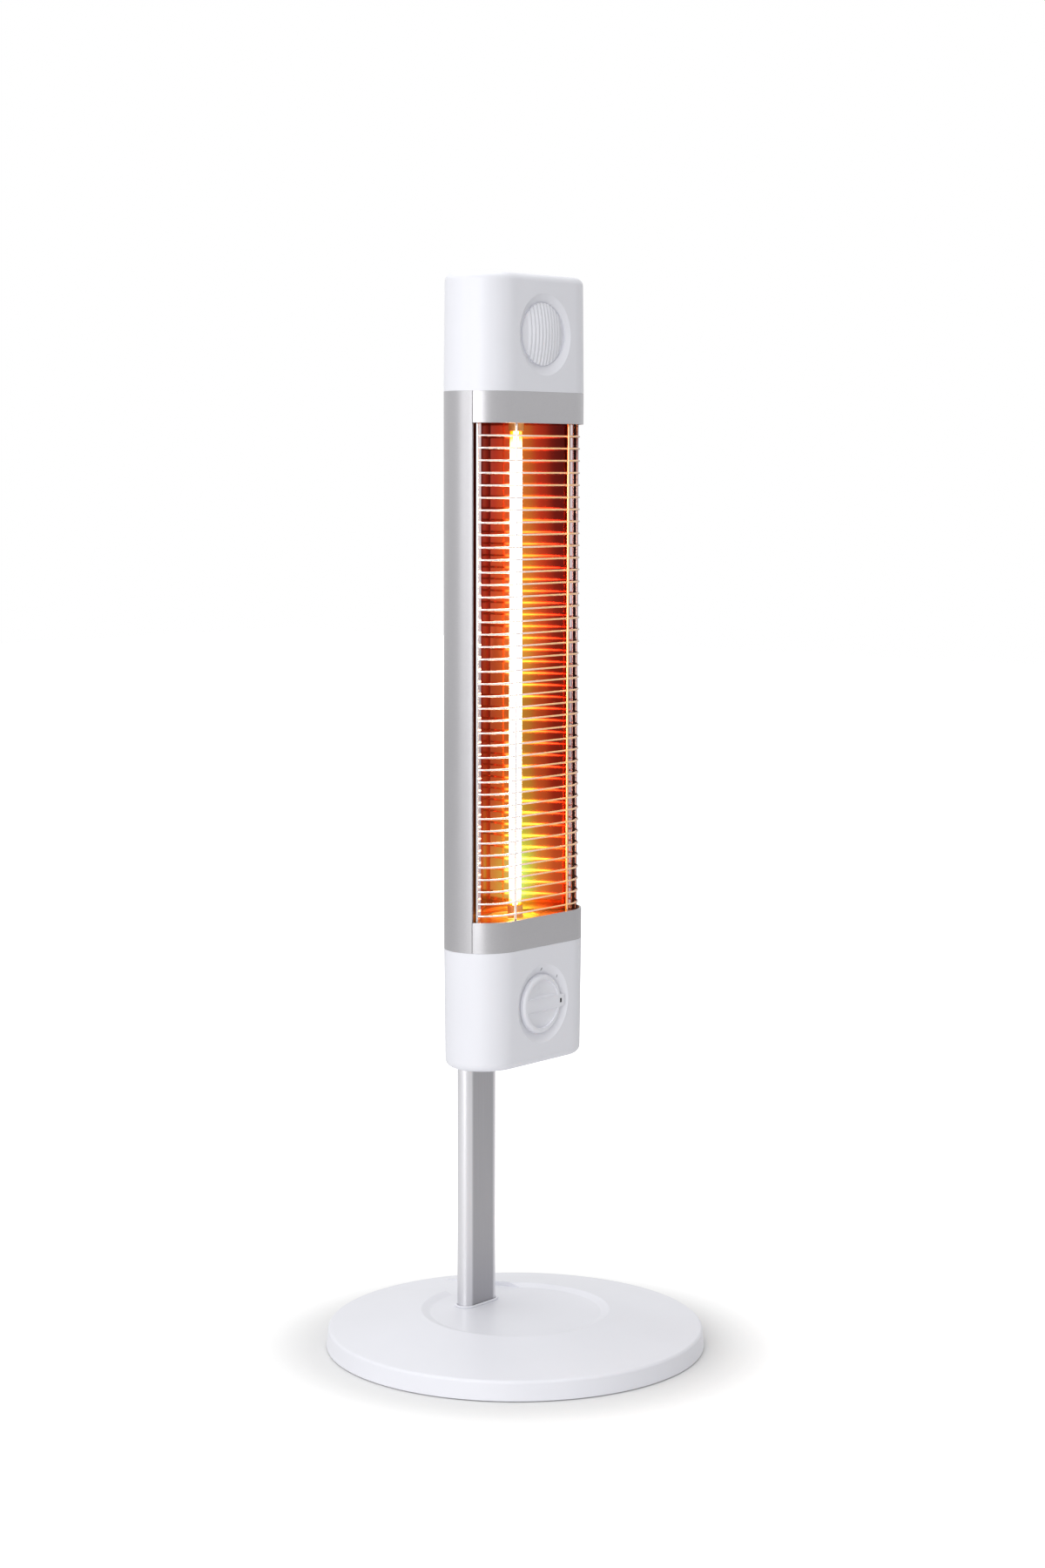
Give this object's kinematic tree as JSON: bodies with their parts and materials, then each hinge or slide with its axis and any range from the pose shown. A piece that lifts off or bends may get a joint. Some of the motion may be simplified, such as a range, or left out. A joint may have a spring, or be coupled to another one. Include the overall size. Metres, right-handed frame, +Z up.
{
  "type": "infrared patio heater tower",
  "caption": "Slim upright infrared heater with a glowing lamp behind a wire guard, held by an oval pole on a weighted round foot, with a turning dial and a tip-over switch.",
  "frame": {"origin": "on the floor, under the middle of the round foot", "axes": "+Z up, the heater's window faces -Y, +X to the right of someone facing it"},
  "size_m": [0.32, 0.32, 0.8945],
  "materials": {
    "white_plastic": "satin moulded white with a faint cool tint",
    "silver_paint": "satin silver powder coat",
    "pole_aluminium": "satin anodised extrusion",
    "polished_aluminium": "mirror polished reflector sheet",
    "chrome_wire": "bright chromed steel wire",
    "steel": "zinc plated",
    "black_plastic": "fine textured",
    "bakelite": "moulded dark brown",
    "brass": "turned",
    "rubber": "matte black",
    "quartz_glass": "clear fused quartz tube",
    "ceramic": "unglazed steatite, opaque",
    "carbon_fibre": "glowing carbon strip, orange to yellow white",
    "lead_sleeve": "glass fibre sleeve"
  },
  "bodies": {
    "heater": {"base_cover": "white_plastic", "base_bottom_plate": "steel", "base_weight": "steel", "pole_socket": "black_plastic", "base_foot_1": "rubber", "base_foot_2": "rubber", "base_foot_3": "rubber", "base_foot_4": "rubber", "base_plate_screw_1": "steel", "base_plate_screw_2": "steel", "base_plate_screw_3": "steel", "pole": "pole_aluminium", "pole_foot_insert": "pole_aluminium", "pole_foot_collar": "white_plastic", "pole_top_plug": "black_plastic", "pole_bolt_1": "steel", "pole_bolt_2": "steel", "mounting_clamp_lower": "black_plastic", "mounting_clamp_upper": "black_plastic", "clamp_screw_1": "steel", "clamp_screw_2": "steel", "clamp_screw_3": "steel", "clamp_screw_4": "steel", "rear_housing": "silver_paint", "lower_band": "silver_paint", "upper_band": "silver_paint", "cap_screw_1": "steel", "cap_screw_2": "steel", "cap_screw_3": "steel", "cap_screw_4": "steel", "upper_cap": "white_plastic", "lower_cap": "white_plastic", "ribbed_insert": "white_plastic", "lower_end_plate": "polished_aluminium", "upper_end_plate": "polished_aluminium", "reflector": "polished_aluminium", "wire_guard": "chrome_wire", "lamp_tube": "quartz_glass", "carbon_element": "carbon_fibre", "lamp_end_lower": "ceramic", "lamp_end_upper": "ceramic", "lamp_clip_lower": "steel", "lamp_clip_upper": "steel", "rotary_switch": "bakelite", "switch_screw_1": "steel", "switch_screw_2": "steel", "tip_switch_housing": "bakelite", "pendulum_pin": "steel", "terminal_block": "black_plastic", "thermal_cutout": "steel", "cord_gland": "black_plastic", "lead_supply": "lead_sleeve", "lead_switch": "lead_sleeve", "lead_lamp_lower": "lead_sleeve", "lead_lamp_upper": "lead_sleeve"},
    "dial": {"control_knob": "white_plastic", "knob_pointer_mark": "black_plastic", "switch_shaft": "steel"},
    "pendulum": {"tip_pendulum": "brass"}
  },
  "joints": [
    {"name": "knob_turn", "type": "hinge", "parent": "heater", "child": "dial", "pos_m": [0, -0.0275, 0.2951], "axis": [0, -1, 0], "range_deg": [0, 90]},
    {"name": "tip_swing", "type": "hinge", "parent": "heater", "child": "pendulum", "pos_m": [-0.042, 0.006, 0.2774], "axis": [1, 0, 0], "range_deg": [-25, 25]}
  ]
}
